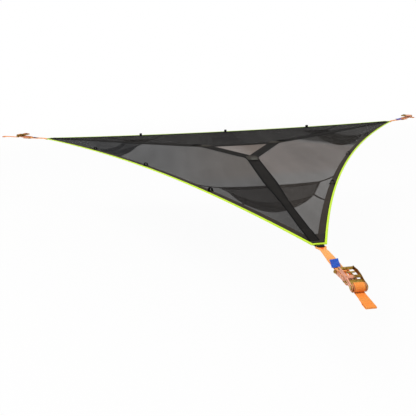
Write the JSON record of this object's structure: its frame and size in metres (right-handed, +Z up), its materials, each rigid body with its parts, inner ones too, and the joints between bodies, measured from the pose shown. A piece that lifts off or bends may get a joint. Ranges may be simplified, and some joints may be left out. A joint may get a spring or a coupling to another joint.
{
  "type": "triangular mesh hammock",
  "caption": "Triangular mesh hammock deck with a meshed central hatch, small under-hammocks, and ratchet straps that anchor its corners.",
  "frame": {"origin": "centre of the bounding box, on the plane through the lowest spots of the small hammocks", "axes": "+Z up, square to the deck; -Y towards the near corner; +X towards the right corner"},
  "size_m": [6.2454, 5.3899, 0.2499],
  "materials": {
    "black_mesh": "open black mesh",
    "black_webbing": "woven black webbing",
    "lime_binding": "matt lime binding tape",
    "orange_webbing": "woven orange webbing",
    "blue_tag": "bare blue label",
    "gold_zinc": "yellow zinc plating",
    "pink_zinc": "yellow zinc plating with a pink sheen",
    "spring_steel": "bare steel"
  },
  "bodies": {
    "hammock": {"border_webbing": "black_webbing", "edge_binding": "lime_binding", "hatch_webbing": "black_webbing", "mesh_bay_right": "black_mesh", "mesh_bay_far": "black_mesh", "mesh_bay_left": "black_mesh", "corner_loop_near": "black_webbing", "under_hammock_near": "black_mesh", "sling_near": "orange_webbing", "tag_near": "blue_tag", "anchor_strap_near": "orange_webbing", "frame_near": "pink_zinc", "end_bolt_near": "gold_zinc", "base_spring_near": "spring_steel", "corner_loop_left": "black_webbing", "under_hammock_left": "black_mesh", "sling_left": "orange_webbing", "tag_left": "blue_tag", "anchor_strap_left": "orange_webbing", "frame_left": "pink_zinc", "end_bolt_left": "gold_zinc", "base_spring_left": "spring_steel", "corner_loop_right": "black_webbing", "under_hammock_right": "black_mesh", "sling_right": "orange_webbing", "tag_right": "blue_tag", "anchor_strap_right": "orange_webbing", "frame_right": "pink_zinc", "end_bolt_right": "gold_zinc", "base_spring_right": "spring_steel"},
    "spindle_near": {"spindle_near": "gold_zinc", "retaining_ring_near": "spring_steel", "strap_roll_near": "orange_webbing", "wheel_first_near": "gold_zinc", "wheel_second_near": "gold_zinc"},
    "handle_near": {"handle_frame_near": "gold_zinc", "handle_grip_near": "gold_zinc", "handle_spring_near": "spring_steel"},
    "handle_pawl_near": {"handle_pawl_near": "gold_zinc"},
    "base_pawl_near": {"base_pawl_near": "gold_zinc"},
    "spindle_left": {"spindle_left": "gold_zinc", "retaining_ring_left": "spring_steel", "strap_roll_left": "orange_webbing", "wheel_first_left": "gold_zinc", "wheel_second_left": "gold_zinc"},
    "handle_left": {"handle_frame_left": "gold_zinc", "handle_grip_left": "gold_zinc", "handle_spring_left": "spring_steel"},
    "handle_pawl_left": {"handle_pawl_left": "gold_zinc"},
    "base_pawl_left": {"base_pawl_left": "gold_zinc"},
    "spindle_right": {"spindle_right": "gold_zinc", "retaining_ring_right": "spring_steel", "strap_roll_right": "orange_webbing", "wheel_first_right": "gold_zinc", "wheel_second_right": "gold_zinc"},
    "handle_right": {"handle_frame_right": "gold_zinc", "handle_grip_right": "gold_zinc", "handle_spring_right": "spring_steel"},
    "handle_pawl_right": {"handle_pawl_right": "gold_zinc"},
    "base_pawl_right": {"base_pawl_right": "gold_zinc"}
  },
  "joints": [
    {"name": "spindle_near_turn", "type": "hinge", "parent": "hammock", "child": "spindle_near", "pos_m": [0.0931, -2.55409, 0.21483], "axis": [1, 0, 0], "continuous": true},
    {"name": "handle_near_swing", "type": "hinge", "parent": "hammock", "child": "handle_near", "pos_m": [0.0931, -2.55409, 0.21483], "axis": [1, 0, 0], "range_deg": [0, 160]},
    {"name": "handle_pawl_near_slide", "type": "slide", "parent": "handle_near", "child": "handle_pawl_near", "axis": [0, 0.9563, 0.2924], "range_m": [0, 0.007], "stiffness_N_per_m": 800, "springref_m": -0.005, "deforming": ["handle_spring_near"]},
    {"name": "base_pawl_near_slide", "type": "slide", "parent": "hammock", "child": "base_pawl_near", "axis": [0, 0.9948, -0.1017], "range_m": [0, 0.007], "stiffness_N_per_m": 800, "springref_m": -0.005, "deforming": ["base_spring_near"]},
    {"name": "spindle_left_turn", "type": "hinge", "parent": "hammock", "child": "spindle_left", "pos_m": [-2.83235, 2.51294, 0.21483], "axis": [-0.5, -0.866, 0], "continuous": true},
    {"name": "handle_left_swing", "type": "hinge", "parent": "hammock", "child": "handle_left", "pos_m": [-2.83235, 2.51294, 0.21483], "axis": [-0.5, -0.866, 0], "range_deg": [0, 160]},
    {"name": "handle_pawl_left_slide", "type": "slide", "parent": "handle_left", "child": "handle_pawl_left", "axis": [0.8282, -0.4782, 0.2924], "range_m": [0, 0.007], "stiffness_N_per_m": 800, "springref_m": -0.005, "deforming": ["handle_spring_left"]},
    {"name": "base_pawl_left_slide", "type": "slide", "parent": "hammock", "child": "base_pawl_left", "axis": [0.8615, -0.4974, -0.1017], "range_m": [0, 0.007], "stiffness_N_per_m": 800, "springref_m": -0.005, "deforming": ["base_spring_left"]},
    {"name": "spindle_right_turn", "type": "hinge", "parent": "hammock", "child": "spindle_right", "pos_m": [3.01855, 2.51294, 0.21483], "axis": [-0.5, 0.866, 0], "continuous": true},
    {"name": "handle_right_swing", "type": "hinge", "parent": "hammock", "child": "handle_right", "pos_m": [3.01855, 2.51294, 0.21483], "axis": [-0.5, 0.866, 0], "range_deg": [0, 160]},
    {"name": "handle_pawl_right_slide", "type": "slide", "parent": "handle_right", "child": "handle_pawl_right", "axis": [-0.8282, -0.4782, 0.2924], "range_m": [0, 0.007], "stiffness_N_per_m": 800, "springref_m": -0.005, "deforming": ["handle_spring_right"]},
    {"name": "base_pawl_right_slide", "type": "slide", "parent": "hammock", "child": "base_pawl_right", "axis": [-0.8615, -0.4974, -0.1017], "range_m": [0, 0.007], "stiffness_N_per_m": 800, "springref_m": -0.005, "deforming": ["base_spring_right"]}
  ]
}
